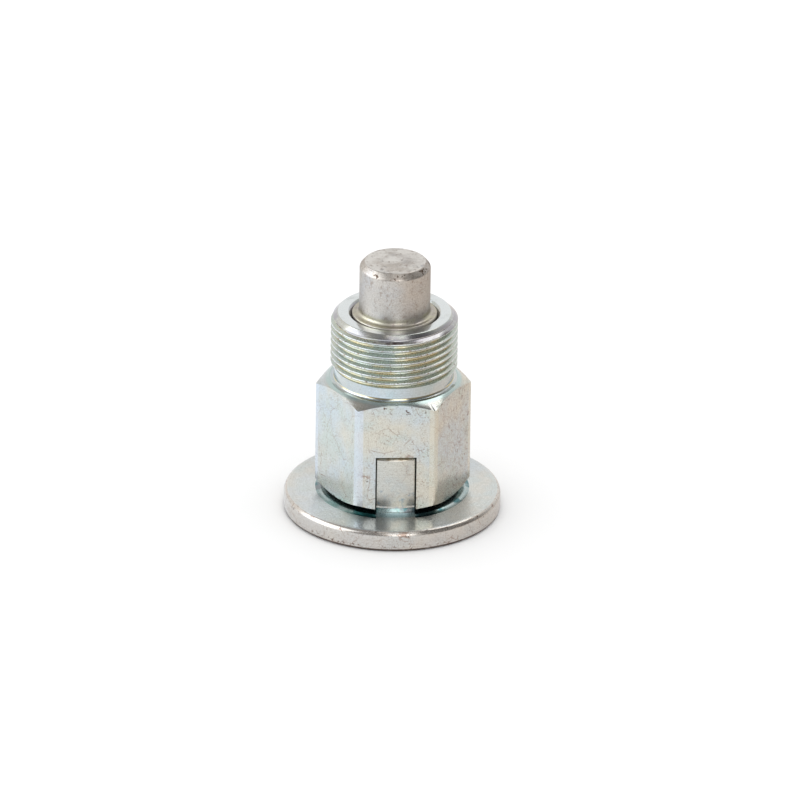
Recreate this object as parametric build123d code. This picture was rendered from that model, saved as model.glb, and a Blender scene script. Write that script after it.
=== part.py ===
from build123d import *

import os
from math import cos, radians, tan

# Indexing plunger with a pull disc, in millimetres.
#
# +Z is the axis of the plunger and Z = 0 is the underside of the pull disc, on which the part stands.
# The guide body is screwed by its nose into a plate. A spring inside it pushes the plunger out, and the
# cross-bar of the pull disc lies in a slot across the hexagon. Pulled clear of the slot and turned, the
# bar rests on the end of the hexagon and holds the plunger in.

# ---------------------------------------------------------------- pull disc
disc_diameter = 30.5
disc_thickness = 3.0
disc_rim_radius = 0.6  # rounding of the upper rim
disc_foot_chamfer = 0.25
hub_setback = 0.05  # ends of the cross-bar inside the flats of the hexagon
hub_root_radius = 1.4  # turned corner between hub and disc
hub_edge_chamfer = 0.35
bar_width = 5.35  # what is left of the hub between its two milled sides
milled_land_height = 0.2  # the cutters stop this far above the disc

# ---------------------------------------------------------------- guide body
hex_across_flats = 19.0
hex_length = 16.55
hex_edge_radius = 0.4  # drawn bar is slightly round at its six edges
hex_chamfer_angle = 30.0
hex_top_land_inset = 0.4  # from the flats in to where the upper chamfer begins
hex_foot_land_inset = 0.1
slot_depth = 8.3
slot_web = 2.0  # floor of the spring chamber, above the slot
thread_diameter = 17.9  # crests of an M18 x 1 thread
nose_length = 10.05  # from the shoulder of the hexagon to the face of the nose
relief_depth = 0.55  # thread relief, below the crests
relief_length = 2.15
relief_run_out = 0.55  # sloping end of the relief, under the last thread
relief_root_radius = 0.5
nose_chamfer = 1.0
bore_mouth_chamfer = 0.45

# ---------------------------------------------------------------- plunger pin
tip_diameter = 10.0
tip_length = 7.8  # from the face of the nose to the end of the tip
tip_chamfer_width = 0.72
tip_chamfer_height = 0.8
tip_root_radius = 0.5
collar_step = 1.0  # radial, from the tip out to the collar
collar_thickness = 3.0
collar_edge_radius = 0.25
stem_diameter = 5.0
neck_diameter = 3.5  # thinner end of the stem, riveted through the pull disc
rivet_head_diameter = 5.6
rivet_head_height = 1.1

# ---------------------------------------------------------------- compression spring
wire_diameter = 0.9
active_turns = 3
closed_turns = 1  # at each end
closed_turn_gap = 0.05  # between a closed turn and the next one

# ---------------------------------------------------------------- clearances
foot_gap = 0.6  # hexagon above the disc
seat_gap = 0.2  # end of the cross-bar below the roof of the slot
slot_clearance = 0.2  # on each side of the cross-bar
guide_clearance = 0.05  # radial, collar in its bore
stem_clearance = 0.08  # radial, stem in the floor of the spring chamber
neck_clearance = 0.04  # radial, riveted neck in the pull disc
coil_clearance = 0.5  # radial, coils of the spring in the guide bore
rivet_recess = 0.1  # rivet head below the underside of the disc

# ---------------------------------------------------------------- heights
disc_top = disc_thickness
hex_foot = disc_top + foot_gap
slot_roof = hex_foot + slot_depth
bar_end = slot_roof - seat_gap
chamber_floor = slot_roof + slot_web
shoulder = hex_foot + hex_length
relief_top = shoulder + relief_length
nose_face = shoulder + nose_length
tip_end = nose_face + tip_length
collar_top = nose_face
collar_foot = collar_top - collar_thickness

# ---------------------------------------------------------------- radii
hub_radius = hex_across_flats / 2 - hub_setback
tip_radius = tip_diameter / 2
collar_radius = tip_radius + collar_step
guide_bore_radius = collar_radius + guide_clearance
stem_bore_radius = stem_diameter / 2 + stem_clearance
neck_bore_radius = neck_diameter / 2 + neck_clearance
coil_radius = guide_bore_radius - coil_clearance - wire_diameter / 2  # at the middle of the wire


def turned(*outline):
    """Solid of revolution about Z, from the (radius, height) corners of its half section."""
    return revolve(Plane.XZ * make_face(Polyline(*outline, close=True)), axis=Axis.Z)


def ring(part, radius, height):
    """The circular edge of a turned part at one radius and height."""
    near = 1e-4
    circles = part.edges().filter_by(GeomType.CIRCLE)
    at_radius = circles.filter_by(lambda edge: abs(edge.radius - radius) < near)
    return at_radius.filter_by(lambda edge: abs(edge.arc_center.Z - height) < near)


def make_pull_disc():
    """Disc with a turned hub, milled on two sides to a cross-bar and drilled for the riveted neck."""
    disc_radius = disc_diameter / 2
    disc = turned(
        (0, 0),
        (disc_radius - disc_foot_chamfer, 0),
        (disc_radius, disc_foot_chamfer),
        (disc_radius, disc_top),
        (hub_radius, disc_top),
        (hub_radius, bar_end - hub_edge_chamfer),
        (hub_radius - hub_edge_chamfer, bar_end),
        (0, bar_end),
    )
    disc = fillet(ring(disc, disc_radius, disc_top), disc_rim_radius)
    disc = fillet(ring(disc, hub_radius, disc_top), hub_root_radius)

    # Two cutters pass along Y, one on each side, and leave the bar between them.
    land = disc_top + milled_land_height
    cut_width = disc_radius
    cutter = Box(
        cut_width,
        disc_diameter,
        bar_end,
        align=(Align.MIN, Align.CENTER, Align.MIN),
    )
    for side in (0, 180):
        disc -= Rot(0, 0, side) * Pos(bar_width / 2, 0, land) * cutter

    countersink_radius = rivet_head_diameter / 2 + neck_clearance + rivet_recess
    countersink_top = rivet_recess + rivet_head_height + neck_clearance
    drilling = turned(
        (0, 0),
        (countersink_radius, 0),
        (neck_bore_radius, countersink_top),
        (neck_bore_radius, bar_end),
        (0, bar_end),
    )
    return disc - drilling


def make_guide_body():
    """Hexagon bar turned to a threaded nose, bored for the plunger and slotted across its end."""
    hexagon = RegularPolygon(hex_across_flats / 2, 6, major_radius=False)
    bar = Pos(0, 0, hex_foot) * extrude(hexagon, hex_length)
    bar = fillet(bar.edges().filter_by(Axis.Z), hex_edge_radius)

    # The lathe takes the corners off both ends, and leaves a round land on each end face.
    corner_radius = hex_across_flats / 2 / cos(radians(30))
    top_land = hex_across_flats / 2 - hex_top_land_inset
    foot_land = hex_across_flats / 2 - hex_foot_land_inset
    slope = tan(radians(hex_chamfer_angle))
    envelope = turned(
        (0, hex_foot),
        (foot_land, hex_foot),
        (corner_radius, hex_foot + (corner_radius - foot_land) * slope),
        (corner_radius, shoulder - (corner_radius - top_land) * slope),
        (top_land, shoulder),
        (0, shoulder),
    )
    bar &= envelope

    thread_radius = thread_diameter / 2
    relief_radius = thread_radius - relief_depth
    nose = turned(
        (0, shoulder - slot_web),
        (relief_radius, shoulder - slot_web),
        (relief_radius, relief_top - relief_run_out),
        (thread_radius, relief_top),
        (thread_radius, nose_face - nose_chamfer),
        (thread_radius - nose_chamfer, nose_face),
        (0, nose_face),
    )
    body = bar + nose
    body = fillet(ring(body, relief_radius, shoulder), relief_root_radius)

    # Guide bore with the spring chamber behind it, and the hole for the stem through its floor.
    body -= turned(
        (0, slot_roof),
        (stem_bore_radius, slot_roof),
        (stem_bore_radius, chamber_floor),
        (guide_bore_radius, chamber_floor),
        (guide_bore_radius, nose_face - bore_mouth_chamfer),
        (guide_bore_radius + bore_mouth_chamfer, nose_face),
        (0, nose_face),
    )

    slot_width = bar_width + 2 * slot_clearance
    slot = Box(
        slot_width,
        2 * corner_radius,
        slot_depth,
        align=(Align.CENTER, Align.CENTER, Align.MIN),
    )
    return body - Pos(0, 0, hex_foot) * slot


def make_plunger_pin():
    """Hardened tip and guide collar on a stem, its thin neck riveted over under the disc."""
    stem_radius = stem_diameter / 2
    neck_radius = neck_diameter / 2
    head_radius = rivet_head_diameter / 2
    pin = turned(
        (0, rivet_recess),
        (head_radius, rivet_recess),
        (neck_radius, rivet_recess + rivet_head_height),
        (neck_radius, bar_end),
        (stem_radius, bar_end),
        (stem_radius, collar_foot),
        (collar_radius, collar_foot),
        (collar_radius, collar_top),
        (tip_radius, collar_top),
        (tip_radius, tip_end - tip_chamfer_height),
        (tip_radius - tip_chamfer_width, tip_end),
        (0, tip_end),
    )
    pin = fillet(ring(pin, tip_radius, collar_top), tip_root_radius)
    collar_rims = ring(pin, collar_radius, collar_top) + ring(pin, collar_radius, collar_foot)
    return fillet(collar_rims, collar_edge_radius)


def make_coil(pitch, turns, start):
    """Round wire wound about Z for whole turns, beginning at one height on the +X side."""
    path = Helix(pitch=pitch, height=pitch * turns, radius=coil_radius)
    section = Plane.XZ * Pos(coil_radius, 0) * Circle(wire_diameter / 2)
    return Pos(0, 0, start) * sweep(section, path, is_frenet=True)


def make_spring():
    """Compression spring with a closed turn at each end, both ends ground flat."""
    length = collar_foot - chamber_floor
    closed_pitch = wire_diameter + closed_turn_gap
    closed_height = closed_pitch * closed_turns
    active_pitch = (length - 2 * closed_height) / active_turns

    first_active = chamber_floor + closed_height
    last_active = collar_foot - closed_height
    spring = make_coil(closed_pitch, closed_turns, chamber_floor)
    spring += make_coil(active_pitch, active_turns, first_active)
    spring += make_coil(closed_pitch, closed_turns, last_active)

    between_seats = Pos(0, 0, chamber_floor) * Cylinder(
        guide_bore_radius, length, align=(Align.CENTER, Align.CENTER, Align.MIN)
    )
    return spring & between_seats


makers = {
    "guide_body": make_guide_body,
    "plunger_pin": make_plunger_pin,
    "compression_spring": make_spring,
    "pull_disc": make_pull_disc,
}

os.makedirs("parts", exist_ok=True)
for name, make in makers.items():
    part = make()
    part.label = name
    export_step(part, os.path.join("parts", name + ".step"))
    size = part.bounding_box().size
    print(f"{name}: {part.volume:.1f} mm3, {size.X:.2f} x {size.Y:.2f} x {size.Z:.2f} mm")
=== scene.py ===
# %% [markdown]
# # An indexing plunger, from lathe to plating
#
# An indexing plunger locks a machine part in place. Its threaded nose is screwed through a plate, and a
# spring pushes a hardened pin out of the nose into a hole in the part behind. Here the plunger stands on
# its pull disc with the pin up. This lesson builds each of its four pieces as it is made in the workshop,
# finishes them in zinc and bare steel, and puts them under soft studio light.
#
# The frame comes first. It holds the measured model, so every piece can be placed by its real size.

from math import cos, pi, radians, sin, tan

import bmesh
import bpy
from mathutils import Matrix, Vector


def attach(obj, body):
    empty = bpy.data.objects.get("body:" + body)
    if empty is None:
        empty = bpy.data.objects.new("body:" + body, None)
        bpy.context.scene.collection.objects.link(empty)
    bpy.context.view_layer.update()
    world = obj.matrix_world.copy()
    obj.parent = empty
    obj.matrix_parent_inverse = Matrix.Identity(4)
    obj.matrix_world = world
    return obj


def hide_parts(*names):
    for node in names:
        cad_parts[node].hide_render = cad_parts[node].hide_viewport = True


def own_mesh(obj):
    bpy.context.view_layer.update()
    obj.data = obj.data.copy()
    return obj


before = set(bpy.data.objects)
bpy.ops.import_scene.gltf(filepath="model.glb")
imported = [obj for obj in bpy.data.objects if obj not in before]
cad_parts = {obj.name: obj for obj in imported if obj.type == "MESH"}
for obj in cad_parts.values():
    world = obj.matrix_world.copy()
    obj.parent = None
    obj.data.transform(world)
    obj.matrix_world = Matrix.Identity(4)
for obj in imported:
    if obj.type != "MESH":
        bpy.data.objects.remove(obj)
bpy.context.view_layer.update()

# %% [markdown]
# ## Ways of working
#
# The pieces are small, so they are modelled with one unit standing for one millimetre, where numbers are
# easy to read, and each is shrunk to metres when it is done. Operators act on whatever is selected. These
# helpers clear the selection, and pick vertices, edges or faces by their place, as a hand would click
# them. Places closer than a thousandth of a millimetre count as the same.

# %% Selecting by place
same_place = 0.001


def start_clean():
    """Leaves edit mode with nothing selected."""
    if bpy.context.mode != "OBJECT":
        bpy.ops.object.mode_set(mode="OBJECT")
    bpy.ops.object.select_all(action="DESELECT")


def work_on(piece, select="VERT"):
    """Opens one piece in edit mode, ready to pick its vertices, edges or faces."""
    start_clean()
    piece.select_set(True)
    bpy.context.view_layer.objects.active = piece
    bpy.ops.object.mode_set(mode="EDIT")
    bpy.ops.mesh.select_mode(type=select)


def pick(piece, kind, wanted):
    """Selects only the verts, edges or faces that pass a test, and says how many there are."""
    bpy.ops.mesh.select_all(action="DESELECT")
    cage = bmesh.from_edit_mesh(piece.data)
    cage.normal_update()
    found = [item for item in getattr(cage, kind) if wanted(item)]
    for item in found:
        item.select_set(True)
    bmesh.update_edit_mesh(piece.data)
    return len(found)


# %% [markdown]
# Three of the four pieces are turned on a lathe. The same can be done here. One vertex is drawn along the
# half section by extruding it, its corners are rounded with a vertex bevel, and the line is spun a full
# turn about the upright axis. Each corner is written as radius, height and, where it is rounded, how far
# from the corner the rounding begins and in how many steps it is made. Vertices that fall together, on the
# axis and where the turn closes, are welded to one.

# %% The lathe
weld = 0.0005


def turn_on_lathe(name, outline, steps=240, closed=False):
    """A solid spun from its half section, which starts and ends on the axis unless it is closed."""
    start_clean()
    bpy.ops.mesh.primitive_plane_add(size=1)
    piece = bpy.context.object
    piece.name = piece.data.name = name
    work_on(piece)
    bpy.ops.mesh.select_all(action="SELECT")
    bpy.ops.mesh.merge(type="CENTER")
    bpy.ops.transform.translate(value=(outline[0][0], 0, outline[0][1]))
    for here, there in zip(outline, outline[1:] + outline[:1] * closed):
        stroke = (there[0] - here[0], 0, there[1] - here[1])
        bpy.ops.mesh.extrude_region_move(TRANSFORM_OT_translate={"value": stroke})
    bpy.ops.mesh.select_all(action="SELECT")
    bpy.ops.mesh.remove_doubles(threshold=weld)
    for corner in outline:
        if len(corner) > 2:
            radius, height, setback, parts = corner
            at = Vector((radius, 0, height))
            pick(piece, "verts", lambda vertex: (vertex.co - at).length < same_place)
            bpy.ops.mesh.bevel(offset=setback, segments=parts, affect="VERTICES")
    bpy.ops.mesh.select_all(action="SELECT")
    bpy.ops.mesh.spin(steps=steps, angle=2 * pi, center=(0, 0, 0), axis=(0, 0, 1))
    bpy.ops.mesh.select_all(action="SELECT")
    bpy.ops.mesh.remove_doubles(threshold=weld)
    bpy.ops.mesh.normals_make_consistent(inside=False)
    start_clean()
    return piece


# %% [markdown]
# Milling, slotting and drilling take material away. A tool is modelled as a solid, and a Boolean modifier
# subtracts it. The same modifier also joins two solids, or keeps only what they share.

# %% Cutting and joining
def combine(piece, tool, how="DIFFERENCE"):
    """Cuts, joins or intersects a piece with a tool, and puts the tool away."""
    start_clean()
    modifier = piece.modifiers.new(how.title(), "BOOLEAN")
    modifier.operation = how
    modifier.solver = "MANIFOLD"
    modifier.object = tool
    bpy.context.view_layer.objects.active = piece
    bpy.ops.object.modifier_apply(modifier=modifier.name)
    bpy.data.objects.remove(tool)


def block(low, high):
    """A plain box between two corners, only ever used as a cutter."""
    start_clean()
    middle = [(a + b) / 2 for a, b in zip(low, high)]
    bpy.ops.mesh.primitive_cube_add(size=1, location=middle)
    bpy.ops.transform.resize(value=[b - a for a, b in zip(low, high)])
    bpy.ops.object.transform_apply(location=True, rotation=True, scale=True)
    return bpy.context.object


# %% [markdown]
# A finished piece is shrunk to metres, and shaded smooth except over its sharp edges. Weighted normals
# keep large flat faces flat beside a narrow rounded edge, so that their reflections stay straight.

# %% Finishing a piece
def finish_piece(piece, sharp_from=32):
    """Shrinks a piece to metres and shades it smooth, but for edges sharper than an angle in degrees."""
    start_clean()
    piece.select_set(True)
    bpy.context.view_layer.objects.active = piece
    piece.scale = (0.001, 0.001, 0.001)
    bpy.ops.object.transform_apply(location=True, rotation=True, scale=True)
    bpy.ops.object.shade_smooth_by_angle(angle=radians(sharp_from))
    modifier = piece.modifiers.new("Flat faces", "WEIGHTED_NORMAL")
    modifier.keep_sharp = True
    bpy.ops.object.modifier_apply(modifier=modifier.name)
    piece.data.calc_loop_triangles()
    size = [round(1000 * side, 2) for side in piece.dimensions]
    print(piece.name, len(piece.data.loop_triangles), "triangles,", size, "mm")


# %% [markdown]
# ## The view
#
# A small part looks its best from far away through a long lens, which keeps its upright sides parallel.
# The camera stands 4 m off and looks down at about 25 degrees. Its aim is set so that the middle of the
# disc's underside, where the frame has its origin, falls a little below the middle of the picture.

# %% Camera
def toward(turn, height):
    """A direction seen from the part: degrees round from the front to the right, and degrees up."""
    turn, height = radians(turn), radians(height)
    return Vector((sin(turn) * cos(height), -cos(turn) * cos(height), sin(height)))


camera_distance = 4.0
camera_turn = -3.1
camera_height = 25.2
camera_roll = radians(-0.8)
aim_right, aim_up = 0.00114, 0.01484
pixels_per_mm = 7.1
picture_width = 800
sensor_width = 36

start_clean()
bpy.ops.object.camera_add()
camera = bpy.context.object
camera.name = "Camera"
back = toward(camera_turn, camera_height)
level = toward(camera_turn + 90, 0)
upward = back.cross(level)
right = cos(camera_roll) * level - sin(camera_roll) * upward
up = sin(camera_roll) * level + cos(camera_roll) * upward
turned = Matrix((right, up, back)).transposed().to_4x4()
stand = back * camera_distance + right * aim_right + up * aim_up
camera.matrix_world = Matrix.Translation(stand) @ turned
camera.data.sensor_width = sensor_width
camera.data.lens = camera_distance * 1000 * pixels_per_mm * sensor_width / picture_width
bpy.context.scene.camera = camera
print("lens", round(camera.data.lens), "mm")

# %% [markdown]
# ## The pull disc
#
# The disc and its cross-bar are one piece. On the real one, a disc with a round hub is turned from bar,
# and two passes of a milling cutter leave a straight bar of the hub standing. The curved root of the hub
# stays on either side as a low step, because the cutters stop just above the disc. The same order of work
# gives the same shape here: turn, mill, then break the edges.

# %% Turn the disc
disc_radius = 15.25
disc_top = 3.0
foot_chamfer = 0.25
rim_rounding = 0.8
hub_radius = 9.45
hub_root = 1.4
hub_chamfer = 0.35
bar_end = 11.7
bar_half_width = 2.675
milled_land = 3.2
neck_hole = 1.79
countersink_radius, countersink_top = 2.94, 1.24

disc = turn_on_lathe(
    "milled_pull_disc",
    [
        (countersink_radius, 0.0),
        (disc_radius - foot_chamfer, 0.0, 0.06, 2),
        (disc_radius, foot_chamfer, 0.06, 2),
        (disc_radius, disc_top, rim_rounding, 10),
        (hub_radius, disc_top, hub_root, 12),
        (hub_radius, bar_end - hub_chamfer, 0.08, 2),
        (hub_radius - hub_chamfer, bar_end, 0.08, 2),
        (neck_hole, bar_end),
        (neck_hole, countersink_top),
    ],
    closed=True,
)

# %% [markdown]
# Each pass of the cutter is a block that reaches past the rim and stops just above the disc. A cutter
# leaves a knife edge, and a light bevel along the bar breaks it, as a file or a tumbler would.

# %% Mill the cross-bar
past_rim = 16.0
above_bar = 12.0
bar_break = 0.07
for side in (-1, 1):
    low, high = sorted((side * bar_half_width, side * past_rim))
    combine(disc, block((low, -past_rim, milled_land), (high, past_rim, above_bar)))

work_on(disc, "EDGE")


def bar_edge(edge):
    """The long straight edges of the bar, at its end and down its four corners."""
    ends = [vertex.co for vertex in edge.verts]
    beside = all(abs(abs(end.x) - bar_half_width) < same_place for end in ends)
    along_top = all(abs(end.z - bar_end) < same_place for end in ends)
    upright = edge.calc_length() > 2 and abs(ends[0].y - ends[1].y) < same_place
    at_corner = abs(ends[0].y) > 2
    return beside and (along_top or (upright and at_corner))


print("bar edges", pick(disc, "edges", bar_edge))
bpy.ops.mesh.bevel(offset=bar_break, segments=2, affect="EDGES")
finish_piece(disc)

# %% [markdown]
# ## The guide body
#
# The body is drawn hexagon bar. A lathe takes the corners off both ends of the hexagon with a shallow
# cone, which gives the curved arcs where the cone meets the flats, and turns one end down to the nose. A
# six-sided cylinder is the bar here, and keeping only what it shares with a turned solid is the lathe's
# cone.

# %% The hexagon
across_flats = 19.0
corner_radius = across_flats / 2 / cos(radians(30))
corner_rounding = 0.4
hexagon_foot = 3.6
shoulder = 20.15
slot_roof = 11.9
slope = tan(radians(30))
foot_land, top_land = 9.4, 9.1
past_corners = 11.4

start_clean()
bpy.ops.mesh.primitive_cylinder_add(
    vertices=6,
    radius=corner_radius,
    depth=shoulder - hexagon_foot,
    location=(0, 0, (shoulder + hexagon_foot) / 2),
    rotation=(0, 0, radians(30)),
)
guide = bpy.context.object
guide.name = guide.data.name = "slotted_hexagon_guide"
bpy.ops.object.transform_apply(location=True, rotation=True, scale=True)
work_on(guide, "EDGE")
upright = pick(guide, "edges", lambda edge: abs(edge.verts[0].co.z - edge.verts[1].co.z) > 10)
bpy.ops.mesh.bevel(offset=corner_rounding * tan(radians(30)), segments=6, affect="EDGES")
cone = turn_on_lathe(
    "lathe_cone",
    [
        (0, hexagon_foot),
        (foot_land, hexagon_foot),
        (past_corners, hexagon_foot + (past_corners - foot_land) * slope),
        (past_corners, shoulder - (past_corners - top_land) * slope),
        (top_land, shoulder),
        (0, shoulder),
    ],
)
combine(guide, cone, "INTERSECT")
print("hexagon with", upright, "rounded upright edges")


# %% [markdown]
# A turned cone meets a drawn flat in a crisp arc, but tumbling and plating always round it a little, and
# that thin rounding is what catches the light. The arcs are found by the faces on their two sides: one is
# upright, with a level normal, and the other leans.

# %% Soften the arcs
def arc_edge(edge):
    """An edge between an upright face and a leaning one."""
    if len(edge.link_faces) != 2:
        return False
    less, more = sorted(abs(face.normal.z) for face in edge.link_faces)
    return less < 0.02 and 0.2 < more < 0.95


edge_break = 0.05
work_on(guide, "EDGE")
print("arc edges", pick(guide, "edges", arc_edge))
bpy.ops.mesh.bevel(offset=edge_break, segments=2, affect="EDGES", clamp_overlap=True)

# %% [markdown]
# The nose is turned with a chamfer at its end and a relief groove at its foot, where the thread tool runs
# out. A small fillet leads from the groove into the shoulder of the hexagon. Its section reaches down into
# the hexagon, so that the two solids overlap where they are joined.

# %% The nose
nose_radius = 8.95
nose_face = 30.2
nose_chamfer = 1.0
relief_radius = 8.4
relief_top, thread_start = 22.1, 22.3
in_hexagon = 17.0
nose = turn_on_lathe(
    "nose",
    [
        (0, in_hexagon),
        (8.9, in_hexagon),
        (8.9, shoulder),
        (8.753, shoulder + 0.022),
        (relief_radius, shoulder, 0.49, 6),
        (relief_radius, relief_top, 0.06, 2),
        (nose_radius, thread_start, 0.05, 2),
        (nose_radius, nose_face - nose_chamfer, 0.07, 3),
        (nose_radius - nose_chamfer, nose_face, 0.1, 3),
        (0, nose_face),
    ],
)
print("nose", [round(side, 2) for side in nose.dimensions])

# %% [markdown]
# ## The thread
#
# The nose carries a fine metric thread: right-handed, one millimetre from crest to crest, with flanks at
# 60 degrees. A ring-shaped pattern would only look like a thread from far away, so the groove is really
# cut. The tool's section is placed beside the nose and wound up round it by the Screw modifier, one
# millimetre a turn, and the coil that it sweeps is subtracted. Its root is nearly flat, and it flares a
# little at the crest, so that the crests keep a fine rounded edge. The section is written as radius and
# half width, from the root out.

# %% The thread tool
pitch = 1.0
groove_turns = 10
groove_steps = 240
groove_section = [
    (8.405, 0.07),
    (8.425, 0.13),
    (8.905, 0.407),
    (8.935, 0.427),
    (8.95, 0.455),
    (9.3, 0.455),
]
first_groove = 21.28

start_clean()
bpy.ops.mesh.primitive_circle_add(vertices=2 * len(groove_section), radius=1)
thread_tool = bpy.context.object
both_sides = groove_section + [(radius, -half) for radius, half in reversed(groove_section)]
for vertex, (radius, height) in zip(thread_tool.data.vertices, both_sides):
    vertex.co = (-radius, 0, first_groove + height)
winding = thread_tool.modifiers.new("Winding", "SCREW")
winding.axis = "Z"
winding.angle = 2 * pi
winding.screw_offset = pitch
winding.iterations = groove_turns
winding.steps = winding.render_steps = groove_steps
winding.use_merge_vertices = False
bpy.ops.object.modifier_apply(modifier=winding.name)
work_on(thread_tool, "EDGE")
pick(thread_tool, "edges", lambda edge: len(edge.link_faces) == 1)
bpy.ops.mesh.fill_holes(sides=0)
bpy.ops.mesh.select_all(action="SELECT")
bpy.ops.mesh.normals_make_consistent(inside=False)
start_clean()
print("thread tool", len(thread_tool.data.polygons), "faces")

# %% [markdown]
# Inside, the body is bored for the plunger, with the spring chamber behind the guide and a smaller hole
# for the stem. Across its end it is slotted for the bar of the disc. The mouth of the bore is broken with
# a small chamfer.

# %% Thread, bore and slot
combine(guide, nose, "UNION")
combine(guide, thread_tool)

stem_hole = 2.58
guide_bore = 6.05
bore_mouth = 6.6
chamber_floor = 13.9
in_slot, above_nose = 11.0, 31.0
bore_tool = turn_on_lathe(
    "bore_tool",
    [
        (0, in_slot),
        (stem_hole, in_slot),
        (stem_hole, chamber_floor),
        (guide_bore, chamber_floor),
        (guide_bore, 29.74, 0.06, 2),
        (6.46, 30.14),
        (6.52, 30.18),
        (bore_mouth, nose_face),
        (bore_mouth, above_nose),
        (0, above_nose),
    ],
)
combine(guide, bore_tool)

slot_half_width = 2.875
past_flats = 12.0
below_foot = 2.0
slot_low = (-slot_half_width, -past_flats, below_foot)
slot_high = (slot_half_width, past_flats, slot_roof)
combine(guide, block(slot_low, slot_high))


def slot_edge(edge):
    """The edges where the slot opens in the two flats that it cuts across, but for any tiny ones."""
    ends = [vertex.co for vertex in edge.verts]
    on_flat = all(abs(abs(end.y) - across_flats / 2) < same_place for end in ends)
    between = all(abs(end.x) < slot_half_width + same_place for end in ends)
    below = all(end.z < slot_roof + same_place for end in ends)
    return on_flat and between and below and edge.calc_length() > 0.3


work_on(guide, "EDGE")
print("slot edges", pick(guide, "edges", slot_edge))
bpy.ops.mesh.bevel(offset=edge_break, segments=2, affect="EDGES", clamp_overlap=True)
finish_piece(guide, sharp_from=18)

# %% [markdown]
# ## The pin
#
# The tip, the guide collar and the stem are one turned and hardened pin. Its tip has a chamfered end, and
# a fillet leads down to the collar, which stands flush with the end of the nose. The thin neck below
# passes through the disc and is riveted over underneath.

# %% Turn the pin
tip_radius = 5.0
tip_end = 38.0
tip_chamfer, tip_chamfer_height = 0.72, 0.8
collar_radius = 6.0
collar_foot = 27.2
stem_radius = 2.5
neck_radius = 1.75
rivet_radius = 2.8
rivet_foot, rivet_top = 0.1, 1.2

pin = turn_on_lathe(
    "locking_pin",
    [
        (0, rivet_foot),
        (rivet_radius, rivet_foot, 0.08, 2),
        (neck_radius, rivet_top),
        (neck_radius, bar_end),
        (stem_radius, bar_end, 0.1, 2),
        (stem_radius, collar_foot, 0.2, 3),
        (collar_radius, collar_foot, 0.25, 4),
        (collar_radius, nose_face, 0.25, 5),
        (tip_radius, nose_face, 0.5, 8),
        (tip_radius, tip_end - tip_chamfer_height, 0.2, 4),
        (tip_radius - tip_chamfer, tip_end, 0.16, 4),
        (0, tip_end),
    ],
    steps=192,
)
finish_piece(pin)

# %% [markdown]
# ## The return spring
#
# The spring hides in its chamber behind the collar, and pushes the pin out. Its end turns lie close
# together and are ground flat, so that they sit square. One round section of wire is wound three times by
# the Screw modifier: slowly rising for the closed end turns, and steeply for the three working turns.

# %% Wind the spring
wire_radius = 0.45
coil_radius = 5.1
closed_pitch = 0.95
open_turns = 3
open_pitch = (collar_foot - chamber_floor - 2 * closed_pitch) / open_turns
steps_a_turn = 64


def wind(start, rise, turns):
    """Round wire wound upwards from a start height, with its rise in one turn."""
    start_clean()
    bpy.ops.mesh.primitive_circle_add(
        vertices=16, radius=wire_radius, location=(coil_radius, 0, start), rotation=(pi / 2, 0, 0)
    )
    coil = bpy.context.object
    bpy.ops.object.transform_apply(location=True, rotation=True, scale=True)
    winding = coil.modifiers.new("Winding", "SCREW")
    winding.angle = 2 * pi
    winding.screw_offset = rise
    winding.iterations = turns
    winding.steps = winding.render_steps = steps_a_turn
    winding.use_merge_vertices = False
    bpy.ops.object.modifier_apply(modifier=winding.name)
    return coil


lower = wind(chamber_floor, closed_pitch, 1)
middle = wind(chamber_floor + closed_pitch, open_pitch, open_turns)
upper = wind(collar_foot - closed_pitch, closed_pitch, 1)
start_clean()
for coil in (lower, middle, upper):
    coil.select_set(True)
bpy.context.view_layer.objects.active = lower
bpy.ops.object.join()
spring = bpy.context.object
spring.name = spring.data.name = "return_spring"
work_on(spring, "EDGE")
bpy.ops.mesh.select_all(action="SELECT")
bpy.ops.mesh.remove_doubles(threshold=same_place)
pick(spring, "edges", lambda edge: len(edge.link_faces) == 1)
bpy.ops.mesh.fill_holes(sides=0)
bpy.ops.mesh.select_all(action="SELECT")
bpy.ops.mesh.normals_make_consistent(inside=False)
seats = turn_on_lathe(
    "seats",
    [
        (0, chamber_floor),
        (collar_radius, chamber_floor),
        (collar_radius, collar_foot),
        (0, collar_foot),
    ],
    steps=steps_a_turn,
)
combine(spring, seats, "INTERSECT")
finish_piece(spring)

# %% [markdown]
# ## Finishes
#
# Colours are written as the eye sees them, in hexadecimal, and one function turns them to the linear
# values in which light is added up. Materials are built from nodes, and one small function adds a node
# with its settings and its links.

# %% Colour and nodes
def linear(colour):
    """The linear light of a colour such as "#c6ced2", with full cover."""
    parts = [int(colour[at : at + 2], 16) / 255 for at in (1, 3, 5)]
    light = [part / 12.92 if part <= 0.04045 else ((part + 0.055) / 1.055) ** 2.4 for part in parts]
    return light + [1.0]


def add(tree, kind, inputs, **settings):
    """Adds a node. Inputs are sockets by name or number, each with a value or another node's output."""
    node = tree.nodes.new("ShaderNode" + kind)
    for name, value in settings.items():
        setattr(node, name, value)
    for name, value in inputs.items():
        if isinstance(value, bpy.types.NodeSocket):
            tree.links.new(value, node.inputs[name])
        else:
            node.inputs[name].default_value = value
    return node


# %% [markdown]
# Every pattern is drawn in millimetres on the piece's own coordinates, so that it keeps its real size and
# rides along when the piece moves. A noise of scale 2 has features about half a millimetre across. Patterns
# end as masks, from 0 to 1, and a layer lays one colour over another where all of its masks are strong.

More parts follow.
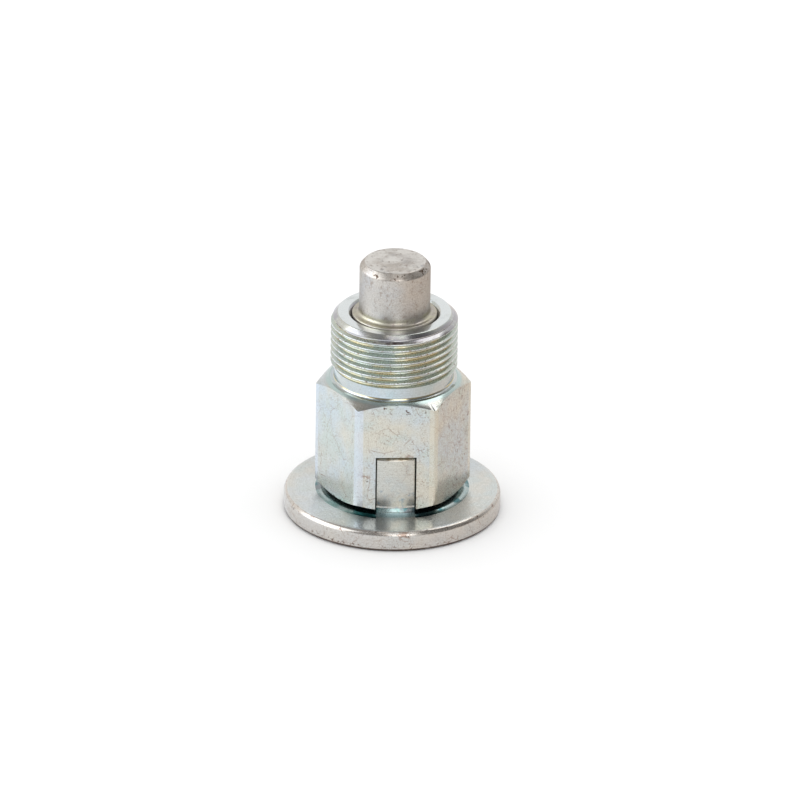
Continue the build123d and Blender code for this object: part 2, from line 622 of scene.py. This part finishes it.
# %% Patterns in millimetres
def start_finish(name):
    """A new material with its node tree and the coordinates of the piece in millimetres."""
    finish = bpy.data.materials.new(name)
    finish.use_nodes = True
    tree = finish.node_tree
    tree.nodes.clear()
    place = add(tree, "TexCoord", {}).outputs["Object"]
    in_mm = add(tree, "VectorMath", {0: place, "Scale": 1000.0}, operation="SCALE").outputs["Vector"]
    return finish, tree, in_mm


def stretch(tree, value, low, high, first=0.0, last=1.0):
    """Eases a value from first to last while it runs from low to high."""
    limits = {"Value": value, "From Min": low, "From Max": high, "To Min": first, "To Max": last}
    return add(tree, "MapRange", limits, interpolation_type="SMOOTHSTEP").outputs["Result"]


def mottle(tree, where, scale, low, high, detail=3.0):
    """Soft patches: noise of a given scale, stretched from low to high."""
    noise = add(tree, "TexNoise", {"Vector": where, "Scale": scale, "Detail": detail, "Roughness": 0.6})
    return stretch(tree, noise.outputs[0], low, high)


def band(tree, value, middle, half, soft):
    """A mask that is 1 within half of the middle and fades over a soft edge."""
    away = add(tree, "Math", {0: value, 1: middle}, operation="SUBTRACT").outputs[0]
    away = add(tree, "Math", {0: away}, operation="ABSOLUTE").outputs[0]
    return stretch(tree, away, half, half + soft, 1.0, 0.0)


def layer(tree, below, above, *masks, how="MIX"):
    """Lays one colour over another, covering as much as the product of its masks."""
    cover = masks[0]
    for mask in masks[1:]:
        cover = add(tree, "Math", {0: cover, 1: mask}, operation="MULTIPLY").outputs[0]
    mix = add(tree, "Mix", {0: cover, 7: above}, data_type="RGBA", blend_type=how)
    if isinstance(below, bpy.types.NodeSocket):
        tree.links.new(below, mix.inputs[6])
    else:
        mix.inputs[6].default_value = below
    return mix.outputs[2]


# %% [markdown]
# ### Metal finishes
#
# All the finishes here are bare or plated metal, and differ in their tints, their gloss and their marks.
# The parts are electroplated with zinc and passivated, and the film is thin enough to tint the metal:
# mostly a cool grey, with faint green and cream patches. Three features of the finish get functions of
# their own. Cracks run along the borders between cells, and noise bends them. Specks and a finer dust keep
# to patches of the surface. And where a drawn flat rolls off towards a corner of the hexagon, it has a
# narrow strip of painted reflection in another tone, cooler on the left and warmer on the right.

# %% Cracks, specks and rolled corners
roll_depth = 0.00009


def hairlines(tree, in_mm):
    """A mask of thin cracks."""
    bend = add(tree, "TexNoise", {"Vector": in_mm, "Scale": 0.6, "Detail": 4.0}).outputs[1]
    bent = add(tree, "VectorMath", {0: in_mm, 1: bend}, operation="ADD").outputs["Vector"]
    cells = add(tree, "TexVoronoi", {"Vector": bent, "Scale": 0.33}, feature="DISTANCE_TO_EDGE")
    return stretch(tree, cells.outputs["Distance"], 0.003, 0.024, 1.0, 0.0)


def speckle(tree, tint, in_mm, speck):
    """A tint with brown specks and dust over it."""
    dots = mottle(tree, in_mm, 2.6, 0.66, 0.72, detail=4.0)
    tint = layer(tree, tint, linear("#66574c"), dots, mottle(tree, in_mm, 0.3, 0.42, 0.62), speck)
    dust = mottle(tree, in_mm, 5.0, 0.55, 0.66)
    patches = mottle(tree, in_mm, 0.45, 0.34, 0.60)
    return layer(tree, tint, linear("#937f71"), dust, patches, 0.8 * speck)


def roll_and_paint_corners(tree, tint, x, y):
    """A tint with strips of painted reflection along the hexagon's corners, and the normal of the rolling
    flats.
    """
    turn = add(tree, "Math", {0: y, 1: x}, operation="ARCTAN2").outputs[0]
    from_corner = add(tree, "Math", {0: turn, 1: pi / 6}, operation="PINGPONG").outputs[0]
    limits = {"Value": from_corner, "From Max": 0.075, "To Min": 0.0, "To Max": 1.0}
    drop = add(tree, "MapRange", limits).outputs["Result"]
    roll = add(tree, "Bump", {"Height": drop, "Strength": 1.0, "Distance": roll_depth})
    # The strips are painted reflection: cool on the left and warm on the right, like the soft box and paper
    # there.
    strip = stretch(tree, from_corner, 0.060, 0.072, 1.0, 0.0)
    on_left, on_right = stretch(tree, x, 1.0, -1.0), stretch(tree, x, -1.0, 1.0)
    tint = layer(tree, tint, linear("#cbd2df"), strip, on_left, 0.4)
    tint = layer(tree, tint, linear("#dad2bd"), strip, on_right, 0.4)
    return tint, roll.outputs["Normal"]


# %% [markdown]
# A finish starts from three tints in patches. Over them go a fine grain, turning marks in rings, cracks and
# specks. Last come the marks: dirt and wear, and painted light, which is painted shade and painted
# highlights.
# Each is written as its colour, what its band is measured by (height, radius, or side for left and right),
# the middle of the band, its half width and its soft edge, and then the scale and the two limits of the
# patches that it shows in.

# %% A metal finish
grain_depth = 0.00002


def metal(
    name,
    roughness,
    colours,
    patch=0.13,
    grain=6.5,
    speck=0.5,
    crack=0.0,
    rings=0.0,
    bump=0.05,
    marks=(),
    anisotropic=0.0,
    rolled=False,
    edge="#ffffff",
):
    """A metal with its roughness, its three tints and its marks; edge tints it where it is seen aslant."""
    finish, tree, in_mm = start_finish(name)
    x, y, z = add(tree, "SeparateXYZ", {0: in_mm}).outputs
    across = add(tree, "CombineXYZ", {"X": x, "Y": y}).outputs[0]
    radius = add(tree, "VectorMath", {0: across}, operation="LENGTH").outputs["Value"]
    section = add(tree, "CombineXYZ", {"X": radius, "Z": z}).outputs[0]

    first, second, third = colours
    tint = layer(tree, linear(first), linear(second), mottle(tree, in_mm, patch, 0.34, 0.66))
    tint = layer(tree, tint, linear(third), mottle(tree, in_mm, 1.7 * patch, 0.46, 0.70))

    fine = mottle(tree, in_mm, grain, 0.30, 0.72, detail=4.0)
    tint = layer(tree, tint, linear("#e6e4e1"), fine, how="MULTIPLY")
    height = fine
    if rings:
        lathe = mottle(tree, section, 4.0, 0.30, 0.70, detail=2.0)
        tint = layer(tree, tint, linear("#c6c3bf"), lathe, rings, how="MULTIPLY")
        height = layer(tree, fine, lathe, 0.7)
    if crack:
        patches = mottle(tree, in_mm, 0.3, 0.42, 0.60)
        tint = layer(tree, tint, linear("#937c6e"), hairlines(tree, in_mm), patches, crack)
    tint = speckle(tree, tint, in_mm, speck)
    measures = {"height": z, "radius": radius, "side": x}
    for colour, measure, middle, half, soft, scale, low, high in marks:
        place = band(tree, measures[measure], middle, half, soft)
        patches = mottle(tree, in_mm, scale, low, high, detail=4.0)
        tint = layer(tree, tint, linear(colour), place, patches)

    surface = {"Height": height, "Strength": bump, "Distance": grain_depth}
    if rolled:
        tint, surface["Normal"] = roll_and_paint_corners(tree, tint, x, y)
    normal = add(tree, "Bump", surface).outputs["Normal"]
    rough = stretch(tree, fine, 0.0, 1.0, roughness - 0.03, roughness + 0.05)
    look = {"Base Color": tint, "Metallic": 1.0, "Roughness": rough, "Normal": normal}
    look["Specular Tint"] = linear(edge)
    if anisotropic:
        look["Anisotropic"] = anisotropic
        look["Anisotropic Rotation"] = 0.25
        look["Tangent"] = add(tree, "Tangent", {}, direction_type="RADIAL", axis="Z").outputs["Tangent"]
    shader = add(tree, "BsdfPrincipled", look)
    add(tree, "OutputMaterial", {"Surface": shader.outputs["BSDF"]})
    print(name, len(tree.nodes), "nodes")
    return finish


# %% [markdown]
# The drawn flats are smooth but not mirror bright, and roll off slightly towards the edges of the bar,
# where each flat has a strip of painted reflection along its corners; the right flats carry painted shade.
# The thread is duller and greener, with a painted golden glint in its root and painted highlights on its
# crests. The nose and its relief are turned, so they shine in rings, and its chamfer is painted darker.

# %% Finishes of the guide body
brown = "#5e4a3e"
plate = ("#c6ced2", "#d2cdc0", "#c7cdc6")
drawn_zinc = metal(
    "zinc_on_drawn_hexagon",
    0.25,
    plate,
    speck=1.0,
    crack=0.7,
    rolled=True,
    marks=[
        # The first and third marks darken the right flats in mauve patches: painted shade, away from the
        # soft box.
        ("#aaa09a", "side", 10.0, 3.6, 1.4, 2.9, 0.46, 0.70),
        (brown, "height", 19.6, 0.6, 0.9, 1.3, 0.62, 0.68),
        ("#857069", "side", 10.4, 1.5, 3.0, 1.8, 0.57, 0.70),
        # The last mark browns the foot of the hexagon where it meets the disc: dirt, and painted shade in
        # the crease.
        (brown, "height", 3.6, 0.10, 0.25, 1.5, 0.50, 0.62),
    ],
)
turned_zinc = metal(
    "zinc_on_turned_steel",
    0.19,
    plate,
    speck=0.4,
    rings=0.35,
    marks=[
        ("#5f4c48", "height", 29.22, 0.08, 0.14, 0.9, 0.46, 0.56),
        ("#adbcb9", "height", 20.12, 0.12, 0.25, 0.3, 0.20, 0.50),
        # A purple-grey in patches darkens the nose chamfer: painted shade, for the dim room overhead that
        # it mirrors.
        ("#a6a4a7", "height", 29.65, 0.35, 0.15, 0.3, 0.40, 0.58),
        # A lighter tone on the end face of the nose is a painted highlight.
        ("#d2d6d6", "height", 30.20, 0.02, 0.02, 0.3, 0.20, 0.50),
    ],
)
thread_zinc = metal(
    "zinc_on_the_thread",
    0.24,
    ("#b9c2ba", "#bfc5b9", "#b6c1bc"),
    speck=0.9,
    bump=0.12,
    marks=[
        # The golden root is a painted glint of the front lamp on a faint yellow film; the light crest is a
        # painted highlight.
        ("#c6bb9a", "radius", 8.45, 0.06, 0.10, 0.25, 0.40, 0.66),
        ("#d2d5d6", "radius", 8.95, 0.03, 0.05, 3.0, 0.15, 0.45),
        ("#a08e80", "radius", 8.95, 0.02, 0.05, 2.6, 0.54, 0.64),
        (brown, "radius", 8.95, 0.10, 0.10, 2.2, 0.64, 0.70),
    ],
)
relief_zinc = metal(
    "zinc_in_the_relief",
    0.14,
    ("#c2ccd2", "#cfd2cf", "#bfcdd0"),
    speck=0.3,
    rings=0.25,
    # The golden line at the foot of the fillet is a painted highlight.
    marks=[("#c9ba90", "height", 20.42, 0.05, 0.08, 0.5, 0.30, 0.60)],
)

# %% [markdown]
# The disc is faced on the lathe, and its fine rings spread each reflection in and out from the middle,
# which anisotropy does here. The root of the hub, where the cutters stopped, is painted teal and slate:
# painted shade and the painted reflection of the hexagon's dark underside, on a faint teal film. The rim
# is worn to brown where fingers pull on it, and dirt and painted contact shade sit along its foot.

# %% Finishes of the disc
side_zinc = metal(
    "zinc_on_the_disc_side",
    0.24,
    ("#d2cdc8", "#d6cfc6", "#cfcdc9"),
    speck=1.0,
    crack=0.8,
    rings=0.3,
    marks=[
        ("#8f7c74", "height", 2.66, 0.14, 0.12, 0.6, 0.59, 0.66),
        (brown, "height", 2.60, 0.30, 0.25, 2.0, 0.62, 0.68),
        ("#6b5549", "height", 0.40, 0.35, 0.35, 2.2, 0.57, 0.66),
        # The last mark darkens the foot of the side: dirt, and painted shade where the disc stands on the
        # paper.
        ("#54463e", "height", 0.08, 0.24, 0.16, 0.6, 0.15, 0.45),
    ],
)
faced_zinc = metal(
    "zinc_on_faced_disc",
    0.29,
    ("#d3dade", "#d9d8d2", "#d2d9d8"),
    speck=0.5,
    rings=0.2,
    anisotropic=0.95,
    # Its mark is a teal line beside the bar: a painted reflection of the dark gap under the hexagon.
    marks=[("#8fa5a8", "radius", 10.1, 0.2, 0.5, 0.3, 0.0, 0.3)],
)
# The hub root's teal and slate are painted shade and painted reflection of the dark underside of the
# hexagon.
hub_root_shade = metal(
    "zinc_in_the_hub_root_painted_shade",
    0.24,
    ("#9db4b5", "#b9c4c4", "#7fa3a1"),
    patch=0.3,
    speck=0.25,
    rings=0.3,
    marks=[
        ("#7c8284", "radius", 9.9, 0.9, 0.3, 0.27, 0.54, 0.60),
        ("#4f7478", "radius", 10.0, 0.8, 0.3, 0.33, 0.50, 0.60),
        ("#2f6668", "side", -4.2, 1.3, 0.7, 0.5, 0.10, 0.45),
        ("#3d5b62", "side", 4.0, 1.1, 0.9, 0.5, 0.15, 0.48),
    ],
)
bar_zinc = metal(
    "zinc_on_the_milled_bar",
    0.22,
    ("#cac9c2", "#cfccc2", "#c6c9c6"),
    speck=0.6,
    crack=0.4,
    rings=0.15,
    marks=[
        # The first mark darkens the lower part of the bar in blue-grey patches: painted shade under the
        # hexagon.
        ("#8f9ba2", "height", 5.0, 0.9, 1.6, 1.6, 0.50, 0.70),
        ("#ab9c86", "height", 11.58, 0.16, 0.08, 2.4, 0.42, 0.58),
    ],
)

# %% [markdown]
# The pin is hardened and tumbled, and not plated: a warmer and duller grey that darkens at its edges,
# with pits and bruises on its chamfer, a yellowish band where it leaves the bore, partly grime and partly
# a painted highlight, and a lighter end face, a painted highlight. The spring is drawn wire.

# %% Finishes of the pin and spring
pin_steel = metal(
    "tumbled_pin_steel",
    0.38,
    ("#c2beb9", "#c9c2ba", "#c0bdbb"),
    speck=0.9,
    rings=0.12,
    bump=0.10,
    edge="#d2d0ce",
    marks=[
        ("#54453b", "height", 37.45, 0.32, 0.10, 1.0, 0.55, 0.62),
        # A yellowish band where the pin leaves the bore: partly grime, partly a painted highlight.
        ("#c0bca9", "height", 30.55, 0.30, 0.45, 0.45, 0.30, 0.62),
        # A lighter tone on the end face of the pin is a painted highlight.
        ("#dbd8d3", "height", 38.00, 0.03, 0.03, 0.35, 0.30, 0.60),
        ("#a3a7ac", "height", 38.00, 0.03, 0.03, 0.8, 0.58, 0.68),
        ("#857a70", "height", 34.0, 3.6, 0.5, 5.5, 0.60, 0.70),
        ("#a0958c", "height", 34.2, 3.9, 0.5, 1.6, 0.52, 0.72),
    ],
)
wire_steel = metal("drawn_spring_wire", 0.3, ("#b5b5b3", "#bdb9b2", "#b5b5b0"))

# %% [markdown]
# Each face takes its finish from its place: its height, its distance from the axis and which way it faces.
# The drawn flats, the turned faces, the thread and the relief of the guide body are told apart in this way,
# and so are the side, the faced top, the root of the hub and the milled bar of the disc.

# %% Give the faces their finishes
def dress(piece, finishes, choose):
    """Gives each face one of the finishes, by the number that choose returns for its place."""
    piece.data.materials.clear()
    for finish in finishes:
        piece.data.materials.append(finish)
    counts = [0] * len(finishes)
    for face in piece.data.polygons:
        x, y, height = 1000 * face.center
        face.material_index = choose(x, Vector((x, y)).length, height, face.normal)
        counts[face.material_index] += 1
    print(piece.name, {finish.name: count for finish, count in zip(finishes, counts)})


guide_finishes = [drawn_zinc, turned_zinc, thread_zinc, relief_zinc]
disc_finishes = [side_zinc, faced_zinc, hub_root_shade, bar_zinc]


def guide_finish(x, spread, height, normal):
    outside = spread > relief_radius - 0.1
    if spread > 8.5 and height < 20.0 and abs(normal.z) < 0.02:
        return guide_finishes.index(drawn_zinc)
    if outside and relief_top + 0.1 < height < nose_face - nose_chamfer:
        return guide_finishes.index(thread_zinc)
    if outside and spread < nose_radius + 0.02 and shoulder < height < thread_start:
        return guide_finishes.index(relief_zinc)
    return guide_finishes.index(turned_zinc)


def disc_finish(x, spread, height, normal):
    underside = normal.z < -0.9 and height < 0.01
    side = spread > 15.2 or height < 2.0 or (spread > 14.7 and height < 2.9)
    top = height < 5.0 and normal.z > 0.3
    past_root = spread > 10.85 or (abs(x) < 2.8 and spread > 9.85)
    if underside:
        return disc_finishes.index(faced_zinc)
    if side:
        return disc_finishes.index(side_zinc)
    if top:
        return disc_finishes.index(faced_zinc if past_root else hub_root_shade)
    return disc_finishes.index(bar_zinc)


dress(guide, guide_finishes, guide_finish)
dress(disc, disc_finishes, disc_finish)
dress(pin, [pin_steel], lambda *place: 0)
dress(spring, [wire_steel], lambda *place: 0)

# %% [markdown]
# ## The studio
#
# The part stands on a white paper sweep. The paper is lit from all round by the world, so its shadow is
# the soft dark line of contact under the rim. A little glow of its own brings it to full white further
# out, for what the camera and the metal see, with no more light on the part. The upright sides of the
# part mirror the paper, and there it is painted with shade: cool and bright on the left, warm and darker
# on the right.

# %% Floor
paper_size = 0.5
under_disc = -0.00002
glow_in_metal, glow_in_camera = 0.06, 0.02

start_clean()
bpy.ops.mesh.primitive_plane_add(size=paper_size, location=(0, 0, under_disc))
floor = bpy.context.object
floor.name = "Floor"
paper = bpy.data.materials.new("white_paper_sweep")
paper.use_nodes = True
tree = paper.node_tree
tree.nodes.clear()
rays = add(tree, "LightPath", {}).outputs
seen = add(tree, "Math", {0: rays["Is Camera Ray"], 1: rays["Is Glossy Ray"]}, operation="MAXIMUM")
seen = add(tree, "Math", {0: seen.outputs[0], 1: rays["Is Transmission Ray"]}, operation="MAXIMUM")
# In reflections the paper is painted with shade: cool and bright on the left, warm and darker on the right.
spot = add(tree, "TexCoord", {}).outputs["Object"]
aside = add(tree, "VectorMath", {0: spot, 1: (1.0, 0.2, 0.0)}, operation="DOT_PRODUCT")
to_right = stretch(tree, aside.outputs["Value"], -0.04, 0.05)
paper_shade_in_metal = layer(tree, linear("#f1f8ff"), linear("#d8d1cb"), to_right)
unmirrored = add(tree, "Math", {0: 1.0, 1: rays["Is Glossy Ray"]}, operation="SUBTRACT")
colour = layer(tree, paper_shade_in_metal, linear("#e8e8e8"), unmirrored.outputs[0])
glows = {0: rays["Is Camera Ray"], 2: glow_in_metal, 3: glow_in_camera}
glow = add(tree, "Mix", glows, data_type="FLOAT").outputs[0]
glow = add(tree, "Math", {0: seen.outputs[0], 1: glow}, operation="MULTIPLY")
matt = add(tree, "BsdfDiffuse", {"Color": colour})
white = add(tree, "Emission", {"Color": (1, 1, 1, 1), "Strength": glow.outputs[0]})
both = add(tree, "AddShader", {0: matt.outputs[0], 1: white.outputs[0]})
add(tree, "OutputMaterial", {"Surface": both.outputs[0]})
floor.data.materials.append(paper)
print("paper", [round(side, 2) for side in floor.dimensions[:2]], "m")

# %% [markdown]
# ### The room
#
# The camera sees a plain white room, and the paper is lit by an even one. In reflections the room is
# bright behind on the left, falls away towards the front right, and is dimmer overhead. Metal shows its
# shape by such changes: under an even white sky it would look like grey plastic.

# %% World
behind_left = (-0.5, 0.866, 0.0)
ambient = 1.33

world = bpy.data.worlds.new("White studio")
bpy.context.scene.world = world
world.use_nodes = True
tree = world.node_tree
tree.nodes.clear()
rays = add(tree, "LightPath", {}).outputs
direction = add(tree, "TexCoord", {}).outputs["Generated"]
aside = add(tree, "VectorMath", {0: direction, 1: behind_left}, operation="DOT_PRODUCT")
walls = stretch(tree, aside.outputs["Value"], -0.62, 0.45, 0.25, 1.08)
height = add(tree, "SeparateXYZ", {0: direction}).outputs["Z"]
lid = stretch(tree, height, 0.62, 0.85, 1.0, 0.40)
mirrored = add(tree, "Math", {0: walls, 1: lid}, operation="MULTIPLY").outputs[0]
lights = {0: rays["Is Glossy Ray"], 2: ambient, 3: mirrored}
unseen = add(tree, "Mix", lights, data_type="FLOAT").outputs[0]
seen = add(tree, "Math", {0: rays["Is Camera Ray"], 1: rays["Is Transmission Ray"]}, operation="MAXIMUM")
lights = {0: seen.outputs[0], 2: unseen, 3: 1.0}
strength = add(tree, "Mix", lights, data_type="FLOAT").outputs[0]
sky = add(tree, "Background", {"Color": (1, 1, 1, 1), "Strength": strength})
add(tree, "OutputWorld", {"Surface": sky.outputs[0]})
print("room with", len(tree.nodes), "nodes")

# %% [markdown]
# ### Lamps
#
# A large soft box on the left puts the long bright reflections on the left of every round surface. A
# narrow strip in front lights the bar and, from higher up, the chamfers. A small window behind on the right
# picks out the right edges. Their strength is set by how bright their face looks, and not by watts. They
# light only the metal, so that the paper keeps its one soft shadow. The Standard view shows every value as
# it is, and keeps the white of the paper white.

# %% Soft boxes
def soft_box(name, turn, height, distance, wide, tall, brightness, colour="#ffffff"):
    """A lamp facing the part: turn and height in degrees, as for the camera, and its size in metres."""
    start_clean()
    outward = toward(turn, height)
    bpy.ops.object.light_add(type="AREA", location=outward * distance)
    lamp = bpy.context.object
    lamp.name = name
    lamp.data.shape = "RECTANGLE"
    lamp.data.size = wide
    lamp.data.size_y = tall
    lamp.data.energy = brightness * pi * wide * tall
    lamp.data.color = linear(colour)[:3]
    lamp.rotation_euler = outward.to_track_quat("Z", "Y").to_euler()
    lamp.visible_camera = False
    lamp.visible_diffuse = False
    print(name, round(lamp.data.energy, 1), "W")


soft_box("Left soft box", -81, 24, 0.8, 0.92, 0.88, 2.0, "#f2f9ff")
soft_box("Back right window", 124, 60, 0.9, 0.34, 0.42, 2.0)
soft_box("Front strip", 8, 26, 0.9, 0.42, 0.72, 2.4)
soft_box("High front strip", 10, 68, 0.9, 0.38, 0.40, 1.2)

bpy.context.scene.view_settings.view_transform = "Standard"

# %% [markdown]
# ## Bodies
#
# The plunger and its disc slide together in the guide, so each new piece rides on one of the two bodies
# and stands for the measured piece that it replaces. The spring rides with the guide. The paper goes with
# the plunger, because the part stands on its disc wherever the guide is.

# %% Ride and replace
for piece, body, node, slot in (
    (guide, "guide", "guide_body", "zinc_plated_steel"),
    (spring, "guide", "compression_spring", "spring_wire"),
    (pin, "plunger", "plunger_pin", "hardened_steel"),
    (disc, "plunger", "pull_disc", "zinc_plated_disc"),
):
    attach(piece, body)
    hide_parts(node)
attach(floor, "plunger")
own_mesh(spring)
